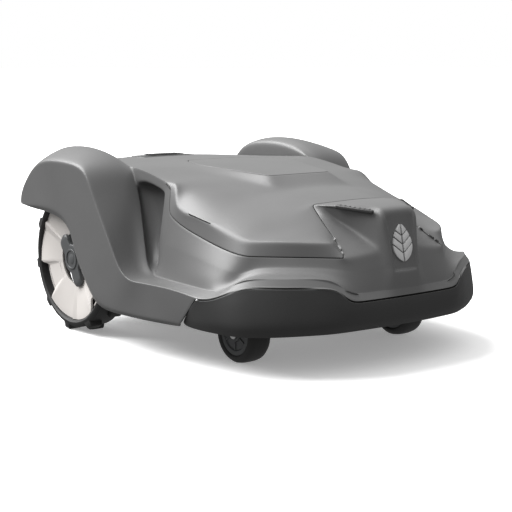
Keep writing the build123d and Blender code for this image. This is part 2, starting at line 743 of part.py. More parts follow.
def front_caster(side):
    """Fork, axle, core and tyre of one front caster, in place."""
    half = caster_width / 2
    core = caster_radius - caster_tread
    tyre = ring_around_x([(-half + 2, core), (half - 2, core), (half, core + 3),
                          (half - 2, caster_radius - 4),
                          (half - 8, caster_radius), (-half + 8, caster_radius), (-half + 2, caster_radius
                                  - 4), (-half, core + 3)])
    bore = caster_axle_radius + running
    wheel = ring_around_x([(-half + 2, core), (half - 2, core), (half - 2, core - 6), (half - 6, core - 8),
                           (half - 6, 14),
                           (half - 2, 12), (half - 2, bore), (-half + 1, bore), (-half + 1, 12), (-half + 8,
                                   14), (-half + 8, core - 8)])
    leg_x = -half - 3 - leg_thickness
    axle = rod(leg_x, half - 1, 0, 0, caster_axle_radius) + rod(half - 1, half + 1, 0, 0,
            caster_axle_radius + 3)
    crown_low = caster_radius + 5
    crown_high = wing_bottom - 1 - caster_radius
    swivel = -caster_trail
    leg = block((leg_x, swivel - 6, 0), (leg_x + leg_thickness, 10, crown_high)) + rod(leg_x, leg_x
            + leg_thickness, 0, 0, 10)
    fork = leg + block((leg_x, swivel - 10, crown_low), (10, swivel + 12, crown_high)) + Pos(0, swivel,
            (crown_low + crown_high) / 2) * Cylinder(12, crown_high - crown_low)
    fork += post(0, swivel, crown_low, wing_bottom + 28 - caster_radius, swivel_radius)
    fork -= rod(leg_x - 1, leg_x + leg_thickness + 1, 0, 0, caster_axle_radius)
    pieces = {"caster_tyre": tyre, "caster_wheel": wheel, "caster_axle": axle, "caster_fork": fork}
    place = Pos(caster_x, contact_y, caster_radius)
    placed = {name: place * piece for name, piece in pieces.items()}
    return placed if side > 0 else {name: mirror(piece, Plane.YZ) for name, piece in placed.items()}


# ---- Cutting system ----


def cutting_system():
    flange = flange_z
    motor = post(0, cutting_y, housing_floor, flange + 4, housing_radius)
    motor += post(0, cutting_y, flange, flange + 4, housing_radius + 7)
    arm_half = screw_offset + screw_radius + 6
    motor += block((-arm_half, cutting_y - 10, flange), (arm_half, cutting_y + 10, flange + 10))
    for _, side in sides:
        motor -= post(side * screw_offset, cutting_y, flange - 1, flange + 11, screw_radius + running)
    motor -= post(0, cutting_y, housing_floor - 1, housing_floor + 42, shaft_radius + running)
    motor_top = chassis_top - chassis_wall
    height_motor = post(screw_offset, cutting_y, motor_top - 24, motor_top, 14)
    height_motor -= post(screw_offset, cutting_y, motor_top - 25, motor_top - 12, screw_radius + running)
    screw = post(screw_offset, cutting_y, chassis_bottom + chassis_wall + 3, motor_top - 13, screw_radius)
    rod_piece = post(-screw_offset, cutting_y, chassis_bottom + chassis_wall, motor_top, screw_radius)
    hub_top = housing_floor - 1
    disc = post(0, cutting_y, disc_height, disc_height + disc_thickness, disc_radius)
    disc += post(0, cutting_y, disc_height, hub_top, 14)
    disc -= post(0, cutting_y, disc_height - 1, hub_top + 1, shaft_radius)
    skid_low = disc_height - 10
    shaft = post(0, cutting_y, skid_low - 0.3, housing_floor + 40, shaft_radius) + post(0, cutting_y,
            skid_low - 3, skid_low - 0.3, 9)
    skid = post(0, cutting_y, skid_low, skid_low + 3, skid_radius) + post(0, cutting_y, skid_low,
            disc_height - 0.5, 11)
    skid -= post(0, cutting_y, skid_low - 1, disc_height, shaft_radius + running)
    blade_low = disc_height - 0.4 - blade_thickness
    pieces, screws = {}, []
    for k in range(blade_count):
        turn = Pos(0, cutting_y, 0) * Rot(0, 0, 360 * k / blade_count + 30)
        place = Pos(blade_pivot_radius, 0, 0)
        screw_piece = post(0, 0, blade_low - 0.3, disc_height + disc_thickness, blade_screw_radius)
        screw_piece += post(0, 0, blade_low - 2.3, blade_low - 0.3, blade_screw_radius + 2)
        screws.append(turn * place * screw_piece)
        disc -= turn * place * post(0, 0, disc_height - 1, disc_height + disc_thickness + 1,
                                    blade_screw_radius)
        blank = Pos((blade_reach - blade_tail) / 2, 0, blade_low + blade_thickness / 2) * Box(blade_reach
                + blade_tail, blade_width, blade_thickness)
        blank -= post(0, 0, blade_low - 1, blade_low + 2, blade_screw_radius + running)
        pieces[f"blade_{k + 1}"] = turn * place * blank
    pieces.update({
        "cutting_motor": motor, "height_motor": height_motor, "height_screw": screw, "guide_rod": rod_piece,
        "blade_disc": disc, "cutting_shaft": shaft, "skid_plate": skid, "blade_screws": Compound(screws),
        "cutting_bellows": bellows(0, cutting_y, well_top, flange, housing_radius + 1.5, housing_radius + 7,
                                   6),
    })
    return pieces


# ---- Writing the pieces ----


def main():
    os.makedirs("parts", exist_ok=True)
    pieces = {}
    pieces.update(cutting_system())
    pieces.update(chassis_pieces())
    pieces.update(control_panel())
    for name, side in sides:
        for group in (rear_wheel(side), front_caster(side)):
            pieces.update({f"{piece}_{name}": shape for piece, shape in group.items()})
    pieces.update(floating_body())
    for name, shape in pieces.items():
        export_step(shape, os.path.join("parts", name + ".step"))


if __name__ == "__main__":
    main()
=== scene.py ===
import math

import bmesh
import bpy
from mathutils import Matrix, Vector


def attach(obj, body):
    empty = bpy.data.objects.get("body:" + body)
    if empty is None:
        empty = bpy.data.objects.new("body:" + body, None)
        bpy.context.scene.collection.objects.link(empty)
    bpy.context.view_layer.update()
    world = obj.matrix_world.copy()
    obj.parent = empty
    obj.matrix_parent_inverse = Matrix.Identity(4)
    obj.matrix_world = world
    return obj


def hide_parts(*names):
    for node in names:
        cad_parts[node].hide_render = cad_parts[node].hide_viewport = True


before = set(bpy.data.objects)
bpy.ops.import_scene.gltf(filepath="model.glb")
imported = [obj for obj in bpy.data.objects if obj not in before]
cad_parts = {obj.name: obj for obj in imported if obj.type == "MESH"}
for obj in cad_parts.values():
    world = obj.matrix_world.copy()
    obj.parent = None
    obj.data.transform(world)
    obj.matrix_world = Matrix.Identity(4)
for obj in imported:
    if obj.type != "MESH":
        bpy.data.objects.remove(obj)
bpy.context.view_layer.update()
mm = 0.001
print("frame loaded")


# small helpers used by every piece


def deselectAll():
    if bpy.context.object and bpy.context.object.mode != "OBJECT":
        bpy.ops.object.mode_set(mode="OBJECT")
    bpy.ops.object.select_all(action="DESELECT")


def makeActive(piece):
    deselectAll()
    piece.select_set(True)
    bpy.context.view_layer.objects.active = piece


def applyModifier(piece, kind, **settings):
    makeActive(piece)
    modifier = piece.modifiers.new(kind.lower(), kind)
    for key, value in settings.items():
        setattr(modifier, key, value)
    bpy.ops.object.modifier_apply(modifier=modifier.name)


def smoothShade(piece, degrees=32):
    makeActive(piece)
    bpy.ops.object.shade_smooth_by_angle(angle=math.radians(degrees))


def placeMesh(piece):
    makeActive(piece)
    bpy.ops.object.transform_apply(location=True, rotation=True, scale=True)


def faceOutwards(piece):
    makeActive(piece)
    bpy.ops.object.mode_set(mode="EDIT")
    bpy.ops.mesh.select_all(action="SELECT")
    bpy.ops.mesh.remove_doubles(threshold=0.00001)
    bpy.ops.mesh.normals_make_consistent(inside=False)
    bpy.ops.object.mode_set(mode="OBJECT")


def pieceFromMesh(name, mesh):
    piece = bpy.data.objects.new(name, mesh)
    bpy.context.scene.collection.objects.link(piece)
    return piece


def joinPieces(pieces, name):
    makeActive(pieces[0])
    for piece in pieces:
        piece.select_set(True)
    bpy.ops.object.join()
    joined = bpy.context.object
    joined.name = name
    joined.data.name = name
    return joined


def copyPiece(piece, name):
    twin = piece.copy()
    twin.data = piece.data.copy()
    twin.name = name
    bpy.context.scene.collection.objects.link(twin)
    return twin


def mirrorPiece(piece, name):
    twin = copyPiece(piece, name)
    twin.data.transform(Matrix.Scale(-1, 4, (1, 0, 0)))
    twin.data.flip_normals()
    return twin


def blend(a, b, share):
    return tuple(a[k] + (b[k] - a[k]) * share for k in range(3))


def spunPiece(name, profile, centre, steps=96):  # profile of (x, radius) turned about a line along X
    mesh = bpy.data.meshes.new(name)
    points = [(x * mm, centre[1] * mm, (centre[2] + r) * mm) for x, r in profile]
    mesh.from_pydata(points, [(k, k + 1) for k in range(len(points) - 1)], [])
    piece = pieceFromMesh(name, mesh)
    makeActive(piece)
    bpy.ops.object.mode_set(mode="EDIT")
    bpy.ops.mesh.select_all(action="SELECT")
    pivot = (0, centre[1] * mm, centre[2] * mm)
    bpy.ops.mesh.spin(steps=steps, angle=math.tau, center=pivot, axis=(1, 0, 0))
    bpy.ops.object.mode_set(mode="OBJECT")
    faceOutwards(piece)
    return piece


def boxPiece(name, centre, size, round=0.0, steps=2):
    deselectAll()
    bpy.ops.mesh.primitive_cube_add(size=1, location=[c * mm for c in centre])
    piece = bpy.context.object
    piece.name = name
    piece.scale = [s * mm for s in size]
    placeMesh(piece)
    if round:
        applyModifier(piece, "BEVEL", width=round * mm, segments=steps)
    return piece


# cages for the moulded panels: rows of points, in millimetres, on the left half


def panelFromCage(name, patches, creases, panel, corners=None):
    made = bmesh.new()
    layer = made.edges.layers.float.new("crease_edge")
    pointed = made.verts.layers.float.new("crease_vert")
    found = {}

    def corner(point):
        key = tuple(round(c, 1) for c in point)
        if key not in found:
            found[key] = made.verts.new([c * mm for c in point])
        return found[key]

    for patch in patches:
        for face in patch:
            ring = []
            for point in face:
                vert = corner(point)
                if vert not in ring:
                    ring.append(vert)
            if len(ring) > 2 and not made.faces.get(ring):
                made.faces.new(ring)
    for point, sharpness in {**sharpCorners, **(corners or {})}.items():
        vert = found.get(tuple(round(c, 1) for c in point))
        if vert:
            vert[pointed] = sharpness
    for line, sharpness in creases:
        for a, b in zip(line, line[1:]):
            edge = made.edges.get((corner(a), corner(b)))
            if edge:
                edge[layer] = max(edge[layer], sharpness)
    bmesh.ops.recalc_face_normals(made, faces=made.faces)
    inside = Vector(panel["inside"]) * mm
    outward = sum(f.normal.dot(f.calc_center_median() - inside) * f.calc_area() for f in made.faces)
    if outward < 0:
        bmesh.ops.reverse_faces(made, faces=made.faces)
    mesh = bpy.data.meshes.new(name)
    made.to_mesh(mesh)
    made.free()
    piece = pieceFromMesh(name, mesh)
    applyModifier(piece, "MIRROR", use_clip=True, merge_threshold=0.0001)
    applyModifier(piece, "SUBSURF", levels=panel["smooth"], render_levels=panel["smooth"])
    if panel.get("gap"):
        pullInBorder(piece, panel["gap"] * mm)
    applyModifier(piece, "SOLIDIFY", thickness=panel["wall"] * mm, offset=-1)
    applyModifier(piece, "BEVEL", width=panel["edge"] * mm, segments=2, limit_method="ANGLE",
                  angle_limit=math.radians(72))
    smoothShade(piece, 62)
    return piece


def pullInBorder(piece, distance):  # leaves the seam gap between panels
    made = bmesh.new()
    made.from_mesh(piece.data)
    moves = {}
    for vert in made.verts:
        border = [e for e in vert.link_edges if e.is_boundary]
        inner = [e for e in vert.link_edges if not e.is_boundary]
        if len(border) != 2 or not inner:
            continue
        along = (border[0].other_vert(vert).co - border[1].other_vert(vert).co).normalized()
        inward = sum(((e.other_vert(vert).co - vert.co).normalized() for e in inner), Vector())
        inward -= along * inward.dot(along)
        if inward.length:
            moves[vert] = inward.normalized() * distance
    for vert, move in moves.items():
        vert.co += move
    made.to_mesh(piece.data)
    made.free()


def quads(rows):  # faces of a grid given as rows of equal length
    faces = []
    for a, b in zip(rows, rows[1:]):
        for k in range(len(a) - 1):
            faces.append((a[k], a[k + 1], b[k + 1], b[k]))
    return faces


def between(first, second, share):
    return [blend(a, b, share) for a, b in zip(first, second)]


# lines shared by the panels, from the rear forwards
archLine = [(262, 344, 203), (271, 305, 201), (275, 241, 201), (275, 190, 196), (275, 160, 182),
            (275, 146, 155), (275, 140, 142), (275, 133, 128), (275, 99, 86), (275, 70, 61), (273, 24, 58),
            (271, -10, 58.5), (268, -60, 59), (260, -110, 60), (253, -138, 60)]
crestLine = [(266, 346, 208), (276, 325, 231), (280, 262, 285.5), (280, 191, 290.5), (280, 122, 287.5),
             (280, 96, 278), (280, 79, 254), (280, 64, 228), (280, 20, 168), (280, -6, 130),
             (278, -31, 118), (275, -50, 118), (271, -75, 118), (266, -135, 118), (262, -186, 112)]
innerLine = [(192, 352, 208), (191, 345, 243), (190, 308, 295), (190, 232, 304), (190, 156, 300),
             (190, 97, 281), (193, 79.5, 256), (196, 62, 231), (208, 35, 187), (224, 2, 138),
             (230, -25, 120), (231, -45, 119.7), (232, -78, 119.5), (237, -142, 120), (240, -196, 121)]
ledgeOuter = [(262, -186, 112), (256, -215, 112), (233, -258, 136), (195, -300, 136), (130, -342, 136),
              (107, -353, 113), (64, -355.6, 113), (46, -356.2, 113), (30, -356.8, 113), (24, -357, 113),
              (21, -357, 113), (0, -357.2, 113)]
ledgeInner = [(240, -196, 121), (238, -222, 124), (227, -254, 146), (190, -294, 147), (131, -334, 147),
              (104, -346, 123), (64, -349, 123), (46, -350, 123), (30, -353.5, 123), (24, -354.4, 123),
              (21, -354.6, 123), (0, -355, 123)]
seamSide = [(190, 97, 281), (190, 54, 277), (195, -6, 265), (200, -32, 258), (212, -43, 218), (216, -80, 203),
            (212, -150, 185), (210, -196, 176), (205, -226, 172), (190, -241, 172), (158, -273, 172),
            (112, -317, 172), (101, -328, 172)]
seamNose = [(101, -328, 172), (94, -317, 180), (89.5, -299, 191), (86.5, -287, 198.5), (82, -262, 214),
            (79, -246, 225), (75, -225, 239), (58, -234, 241), (40, -243, 243), (0, -250, 245)]
sharpCorners = {  # points where a seam or an edge turns a corner
    (200, -32, 258): 0.3, (212, -43, 218): 0.3, (112, -317, 172): 0.3, (101, -328, 172): 0.3,
    (75, -225, 239): 0.3, (233, -258, 136): 0.3, (195, -300, 136): 0.2, (130, -342, 136): 0.3,
    (107, -353, 113): 0.3, (227, -254, 146): 0.3, (131, -334, 147): 0.3, (104, -346, 123): 0.3,
    (262, -186, 112): 0.3, (196, -42, 266): 0.3, (212, -65, 231): 0.3, (62, -108, 274): 0.3,
    (80, -50, 278): 0.2,
}
bodyPanel = {"inside": (0, 60, 60), "smooth": 3, "wall": 2.8, "edge": 0.7}


def fenderPatches():
    raised = (0, 5, 15, 17, 15, 9, 3, 0, -6, -10, -2, 0, 0, 0, 0)
    lowWall = [(c[0], *blend(a, c, 0.1)[1:]) for a, c in zip(archLine, crestLine)]
    middle = [(c[0], *blend(a, c, 0.5)[1:]) for a, c in zip(archLine, crestLine)]
    highWall = between(archLine, crestLine, 0.9)
    highWall = [(c[0], p[1], p[2]) for p, c in zip(highWall, crestLine)]
    outerEdge = between(crestLine, innerLine, 0.12)
    innerEdge = between(crestLine, innerLine, 0.88)
    crown = []
    for k, (crest, inner) in enumerate(zip(crestLine, innerLine)):
        ahead = crestLine[min(k + 1, len(crestLine) - 1)]
        behind = crestLine[max(k - 1, 0)]
        up = (Vector(inner) - Vector(crest)).cross(Vector(ahead) - Vector(behind)).normalized()
        if up.z < 0:
            up = -up
        middlePoint = Vector(blend(crest, inner, 0.68)) + up * raised[k]
        crown.append(tuple(middlePoint))
        outerEdge[k] = tuple(Vector(outerEdge[k]) + up * raised[k] * 0.35)
        innerEdge[k] = tuple(Vector(innerEdge[k]) + up * raised[k] * 0.35)
    rows = [archLine, lowWall, middle, highWall, crestLine, outerEdge, crown, innerEdge, innerLine]
    ledge = [ledgeOuter, between(ledgeOuter, ledgeInner, 0.12), between(ledgeOuter, ledgeInner, 0.5),
             between(ledgeOuter, ledgeInner, 0.88), ledgeInner]
    ledge[1][0], ledge[2][0], ledge[3][0] = outerEdge[-1], crown[-1], innerEdge[-1]
    wall = [(190, 348, 195), (189.5, 331, 215), (189.5, 275, 264), (189.5, 195, 266), (189.5, 140, 268),
            (190, 97, 281)]
    creases = [(crestLine[:10], 0.3), (crestLine[9:], 0.4), (innerLine[:6], 0.2), (innerLine[5:9], 0.45),
               (innerLine[8:11], 0.3), (innerLine[10:], 0.45), (lowWall, 0.45), (ledgeInner, 0.5),
               (ledgeOuter, 0.5)]
    return [quads(rows), quads(ledge), quads([innerLine[:6], wall])], creases


def nichePatches():
    rim = [(193, 79.5, 256), (192, 50, 262), (196, -4, 250), (200, -15, 247)]
    roof = [(186, 84, 250), (168, 62, 250), (164, 4, 246)]
    bottom = (230, -25, 120)
    fender = [(193, 79.5, 256), (196, 62, 231), (208, 35, 187), (224, 2, 138), bottom]
    behind = [roof[0], (188, 84, 231), (196, 60, 187), (208, 30, 138), bottom]
    rear = [roof[1], (168, 60, 231), (172, 44, 187), (190, 20, 138), bottom]
    front = [roof[2], (164, 2, 231), (170, 2, 187), (190, 0, 138), bottom]
    post = [rim[3], (202, -14, 231), (208, -13, 187), (215, -12, 140), bottom]
    wallTop, wallMiddle = (212, -43, 218), (219, -44, 180)
    wallLow, wallFoot = (226, -45, 138), (231, -45, 119.7)
    extra = [blend(wallLow, wallMiddle, share) for share in (0.84, 0.63)]
    faces = quads([seamSide[:4], rim]) + quads([fender, behind, rear, front, post])
    faces += [(rim[0], rim[1], roof[1], roof[0]), (rim[1], rim[2], roof[2], roof[1]),
              (rim[2], rim[3], roof[2])]
    faces += [(rim[3], seamSide[3], wallTop, post[1]), (post[1], wallTop, wallMiddle, post[2]),
              (post[2], wallMiddle, *extra, wallLow, post[3]), (post[3], wallLow, wallFoot, bottom)]
    creases = [(rim, 0.45), (post[:4], 0.5), (seamSide[:5], 0.4), (fender[:4], 0.45)]
    return [faces], creases


def wallPatches():
    foot = innerLine[11:] + ledgeInner[1:8]
    low = [(226, -45, 138), (229, -78, 138), (233, -144, 136), (236, -200, 135), (231, -229, 141),
           (220, -250, 152), (184, -289, 153), (126, -329, 153), (101, -342, 136), (61, -346, 136),
           (42, -347, 136)]
    middle = [(219, -44, 180), (223, -79, 172), (223, -147, 162), (224, -212, 153), (220, -228, 156),
              (207, -246, 162), (172, -281, 162), (119, -323, 162), (100, -335, 155), (58, -340, 156),
              (37, -341.6, 156)]
    top = seamSide[4:] + [(70, -332, 174), (38, -334, 179)]
    for k in range(4, 8):  # below the front seam the wall drops before it flares into the ledge
        rise = top[k][2] - foot[k][2]
        low[k] = (*blend(foot[k], top[k], 0.5)[:2], foot[k][2] + 0.1 * rise)
        middle[k] = (*blend(foot[k], top[k], 0.86)[:2], foot[k][2] + 0.5 * rise)
    rows = [foot, low, between(low, middle, 0.63), between(low, middle, 0.84), middle, top]
    creases = [(top[:9], 0.3), (top[8:], 0.35), (foot, 0.5)]
    return [quads(rows)], creases


def nosePatches():
    lower = [(38, -334, 179), (43, -318, 189), (46.5, -302, 197.5), (52, -283, 208), (59.4, -266, 217),
             (67, -256, 228), (74, -246, 238)]
    upper = [(38.5, -323.5, 227), (43, -310, 230.5), (48.5, -297, 234.5), (55.5, -281, 235.5),
             (62.5, -266, 236.3),
             (68.5, -255.5, 237), (74, -246, 238)]
    lip = [(39, -322.5, 231), (46, -308, 233.8), (52.5, -295, 237), (59.5, -279, 237.5), (66, -264, 238),
           (71, -254, 238.3), (75, -244, 238.8)]
    wing = [(38.5, -322, 234), (45, -308, 237), (51.5, -295, 240.8), (58.5, -279, 241.2), (65, -264, 241.2),
            (70.5, -254, 241), (75, -240, 240.2)]
    slope = [[seamNose[0], (70, -332, 174), lower[0]], [seamNose[1], (68, -319, 184), lower[1]],
             [seamNose[2], (69, -304, 191.5), lower[2]], [seamNose[3], (69, -285, 203), lower[3]],
             [seamNose[4], (71, -264, 216), lower[4]], [seamNose[5], (73.5, -251, 226.5), lower[5]]]
    cheek = [lower, between(lower, upper, 0.51), between(lower, upper, 0.81), upper]
    block = [[(0, -355, 123), (21, -354.6, 123), (24, -354.4, 123), (30, -353.5, 123), (46, -350, 123)],
             [(0, -354, 136), (21, -353.2, 136), (24, -353, 136), (28.5, -352.5, 136), (42, -347, 136)],
             [(0, -352.4, 148), (20, -351.8, 148), (23, -351.6, 148), (27.5, -350.8, 148), None],
             [(0, -348.4, 150), (19, -347.8, 150), (22.5, -351, 151), (27, -350.2, 152), None],
             [(0, -347.4, 156), (19.5, -346.8, 156), (23, -350, 156), (27, -349.4, 156), (37, -341.6, 156)],
             [(0, -343, 179), (21.5, -342.2, 179), (24.5, -346, 179), (29, -345.3, 179), lower[0]],
             [(0, -337.6, 206), (24, -336.6, 206), (27, -341, 206), (33, -340, 206), cheek[1][0]],
             [(0, -335, 222), (25.5, -334.2, 222), (28.5, -338, 222), (35, -337, 222), cheek[2][0]],
             [(0, -333.9, 229), (26, -333.7, 229), (29, -335.5, 229.5), (35, -334, 229.5), upper[0]],
             [(0, -332.2, 236), (26, -332, 236), (29, -332, 235.8), (34.5, -331, 232.5), lip[0]],
             [(0, -326, 240.3), (26, -326, 240), (29, -326, 239.6), (33.5, -326.5, 236.2), wing[0]]]
    block[2][4] = blend(block[1][4], block[4][4], 0.63)
    block[3][4] = blend(block[1][4], block[4][4], 0.84)
    top = [block[-1][:4],
           [(0, -318, 242.2), (24, -318, 241.8), (30, -318.5, 241), wing[0]],
           [(0, -306, 243.8), (26, -306, 243.2), (33, -306.5, 242), wing[1]],
           [(0, -294, 244.5), (29, -293, 244), (37, -293.5, 243.2), wing[2]],
           [(0, -280, 245), (33, -278, 244.5), (43, -278, 243.4), wing[3]],
           [(0, -268, 245.3), (37, -264, 244.6), (48, -263, 243.4), wing[4]],
           [(0, -259, 245.3), (40, -253, 244.2), (52, -250, 243.2), wing[5]],
           [seamNose[9], seamNose[8], seamNose[7], wing[6]]]
    faces = quads(slope) + quads(cheek) + quads(block) + quads(top)
    faces += [(seamNose[5], slope[5][1], upper[6], seamNose[6]), (slope[5][1], lower[5], upper[6])]
    faces += quads([upper, lip, wing])
    faces += [(upper[6], seamNose[6], wing[6], lip[6]), (wing[6], seamNose[6], seamNose[7])]
    front = [row[3] for row in block[4:]]
    back = [row[4] for row in block[4:]]
    panelEdge = [row[2] for row in block[3:9]]
    panelFloor = [row[1] for row in block[3:9]]
    creases = [(lower, 0.3), (lip, 0.3), (wing, 0.3), (upper, 0.2), (front, 0.25), (back, 0.25),
               (panelEdge, 0.3), (panelFloor, 0.3), (block[3][:3], 0.3), (block[2][:3], 0.3),
               ([slope[0][0], slope[0][1], slope[0][2]], 0.15)]
    return [faces], creases


def buildSeamRebate():  # the step under the cover's edge, which closes the seam
    steps = [(point, Vector((-point[0], -120 - point[1], 0)).normalized(), 0.8) for point in seamSide[4:-1]]
    steps += [(point, Vector((1, 0.3, 0)).normalized(), -3) for point in seamNose[:7]]
    steps += [(point, Vector((0, 1, 0)), -3) for point in seamNose[7:]]
    rows = []
    for distance in (None, 8):
        rows.append([tuple(Vector(point) + way * (distance or start) - Vector((0, 0, 4.8)))
                     for point, way, start in steps])
    return panelFromCage("seamRebate", [quads(rows)], [], {**bodyPanel, "wall": 1.4, "edge": 0.3})


def buildBodyShell():
    patches, creases = [], []
    for part in (fenderPatches, nichePatches, wallPatches, nosePatches):
        faces, lines = part()
        patches += faces
        creases += lines
    shell = panelFromCage("bodyShell", patches, creases, bodyPanel)
    across = [0, 60, 105, 145, 172, 187]
    profile = [(322, 272), (334, 262), (347, 238), (352.5, 205), (355, 176), (356.5, 151)]
    rows = []
    for y, z in profile:
        rows.append([(x, y - 9 * (x / 187) ** 3, z - 10 * (x / 187) ** 2 * (z - 150) / 122) for x in across])
    apron = panelFromCage("rearApron", [quads(rows)], [], {**bodyPanel, "inside": (0, 0, 150)})
    return joinPieces([shell, apron, buildSeamRebate()], "bodyShell")


coverPanel = {"inside": (0, 0, 100), "smooth": 3, "wall": 2.8, "edge": 0.8, "gap": 1.3}
hatchPanel = {"inside": (0, 0, 100), "smooth": 3, "wall": 2.8, "edge": 0.6, "gap": 0.2}
hatchEdge = [(62, 125, 284), (78, 90, 283.7), (95.5, 40, 283), (88, -4, 280.8), (80, -50, 278),
             (72, -78, 276),
             (62, -108, 274)]
hatchFront = [(62, -108, 274), (34, -111, 274.3), (0, -112, 274.5)]
hatchRear = [(62, 125, 284), (32, 127.5, 284), (0, 128, 284)]


def buildTopCover():
    crease = [(196, -42, 266), (212, -65, 231), (213, -92, 224), (207, -152, 212), (202, -190, 201),
              (197, -220, 193), (184, -237, 193.5), (158, -270, 194.7), (115, -311, 193.6),
              (102, -307.5, 192.6), seamNose[2]]
    strip = [[seamSide[3 + k], crease[k]] for k in range(10)]
    rearRows = []
    for y, top, fall in ((320, 276, 10), (315, 280, 9), (262, 280.7, 7.5), (200, 281.5, 5.5)):
        rearRows.append([(x, y - (4 if y > 300 else 0) * (x / 187) ** 2, top - fall * (x / 187) ** 2.2)
                         for x in (187, 172, 145, 105, 62, 32, 0)])
    hatchRow = [(188.5, 135, 279.7), (172, 135, 280.6), (145, 135, 281.3), (105, 134, 282), *hatchRear]
    side = [[(188.5, 135, 279.7), (172, 135, 280.6), (145, 135, 281.3), (105, 134, 282), hatchEdge[0]],
            [seamSide[0], (174, 97, 281.2), (147, 96, 281.6), (112, 94, 282), hatchEdge[1]],
            [seamSide[1], (174, 52, 278.3), (147, 50, 279.2), (117, 44, 279.6), hatchEdge[2]],
            [seamSide[2], (176, -6, 268.5), (147, -6, 271), (111, -4, 273.8), hatchEdge[3]],
            [crease[0], (176, -44, 265.5), (145, -45, 267), (103, -44, 268.5), hatchEdge[4]],
            [crease[1], (190, -66, 251), (150, -70, 261), (96, -80, 262), hatchEdge[5]],
            [crease[2], (192, -95, 240), (148, -103, 252), (84, -116, 256.5), hatchEdge[6]]]
    plate = [[hatchEdge[6], hatchFront[1], hatchFront[2]],
             [(73, -143, 252), (37, -148, 255.5), (0, -150, 257)]]
    front = [[crease[2], (192, -95, 240), (148, -103, 252), (84, -116, 256.5)],
             [(210, -124, 217.5), (190, -126, 229), (142, -134, 243), (73, -143, 252), (37, -148, 255.5),
              (0, -150, 257)],
             [crease[3], (187, -156, 221.5), (140, -164, 236), (75, -172, 250), (38, -176, 253.5),
              (0, -178, 255.5)],
             [crease[4], (184, -190, 211.5), (138, -198, 226), (75, -202, 245), (39, -210, 249),
              (0, -214, 251.3)],
             [crease[5], (181, -220, 199.5), (134, -224, 215.5), seamNose[6], seamNose[8], seamNose[9]],
             [crease[6], (168, -237, 199), (124, -243, 210.5), seamNose[5]],
             [crease[7], (145, -266, 199), (113, -266, 206), seamNose[4]],
             [crease[8], (107, -299, 196), (97, -291, 198), seamNose[3]]]
    faces = quads(strip) + quads(rearRows + [hatchRow]) + quads(side) + quads(plate)
    faces += [(seamSide[2], seamSide[3], crease[0]), (seamSide[12], crease[9], seamNose[2], seamNose[1])]
    faces += quads([front[0], front[1][:4]]) + [(front[0][3], front[1][3], hatchEdge[6])]
    faces += quads([front[1], front[2], front[3]])
    faces += quads([front[3][:4], front[4][:4]])
    faces += [(front[3][3], front[3][4], seamNose[7], seamNose[6]),
              (front[3][4], front[3][5], seamNose[9], seamNose[8]), (front[3][4], seamNose[8], seamNose[7])]
    faces += quads([row[:4] for row in front[4:]])
    faces += [(front[-1][0], front[-1][1], crease[9]), (front[-1][1], front[-1][2], seamNose[2], crease[9]),
              (front[-1][2], seamNose[3], seamNose[2])]
    base = [row[3] for row in side[2:]] + [(73, -143, 252), (37, -148, 255.5), (0, -150, 257)]
    creases = [(crease[:-1], 0.42), (base, 0.3), (hatchEdge, 0.4), (hatchFront, 0.4), (hatchRear, 0.3),
               (rearRows[1], 0.2)]
    return panelFromCage("topCover", [faces], creases, coverPanel)


def buildHatch():
    rows = []
    heart = [(0, 128, 284), (0, 90, 284.4), (0, 40, 283.9), (0, -4, 281.6), (0, -50, 278.9), (0, -78, 277),
             (0, -112, 274.5)]
    half = [hatchRear[1], (40, 90, 284.3), (49, 40, 283.7), (45, -4, 281.4), (41, -50, 278.7),
            (37, -78, 276.8),
            hatchFront[1]]
    for side, middle, centre in zip(hatchEdge, half, heart):
        rows.append([side, middle, centre])
    return panelFromCage("hatchLid", [quads(rows)], [], hatchPanel)


bumperPanel = {"inside": (0, -100, 90), "smooth": 3, "wall": 3.5, "edge": 0.8, "gap": 0.0}


def buildBumper():
    top = []
    for point in ledgeOuter:
        away = Vector((point[0], point[1] + 100, 0)).normalized()
        top.append((point[0] + away.x * 1.4, point[1] + away.y * 1.4, point[2] - 2.2))
    top[0] = (263, -188, 109.5)
    top = top[:7] + top[-1:]
    upper = [(262.5, -172, 96), (259, -215, 96), (238, -262, 112), (199, -303, 112), (134, -344, 112),
             (109.5, -354.5, 98), (64, -358, 98), (0, -359.5, 98)]
    lower = [(258, -150, 74), (259, -214, 76), (241, -267, 76), (204, -305, 78), (140, -342, 80),
             (112, -350, 80), (64, -355, 79), (0, -357, 79)]
    bottom = [(254, -140, 62), (250, -208, 62), (234, -260, 62), (198, -295, 63), (136, -329, 65),
              (110, -338, 66), (62, -345, 67), (0, -348, 67)]
    def inwards(distance, rise):
        return [(p[0] - distance * min(1, p[0] / 150), p[1] + distance * min(1, -p[1] / 300), p[2] + rise)
                for p in top]

    rows = [inwards(9, 2.5), inwards(4, -1.5), top, between(top, upper, 0.25), upper, lower, bottom]
    creases = [(lower, 0.2), ([row[5] for row in rows], 0.3), ([row[4] for row in rows], 0.3),
               ([row[2] for row in rows], 0.3), ([row[3] for row in rows], 0.15), (top, 0.3)]
    corners = {row[k]: 0.3 for row in rows for k in (2, 4, 5)}
    return panelFromCage("frontBumper", [quads(rows)], creases, bumperPanel, corners)


bodyShell = buildBodyShell()
topCover = buildTopCover()
hatch = buildHatch()
frontBumper = buildBumper()
print("moulded panels built")


# rear wheels


rearWheel = {
    "centre": (186, 122.5),
    "inner": 209,
    "outer": 261,
    "tread": 115.5,
    "rimRadius": 104,
    "lugs": 10,
    "lugSize": (25, 19, 12),
    "scallops": (-28, 92, 212),
    "scallopDepth": 19,
    "capLobes": (45, -115, 165),
}


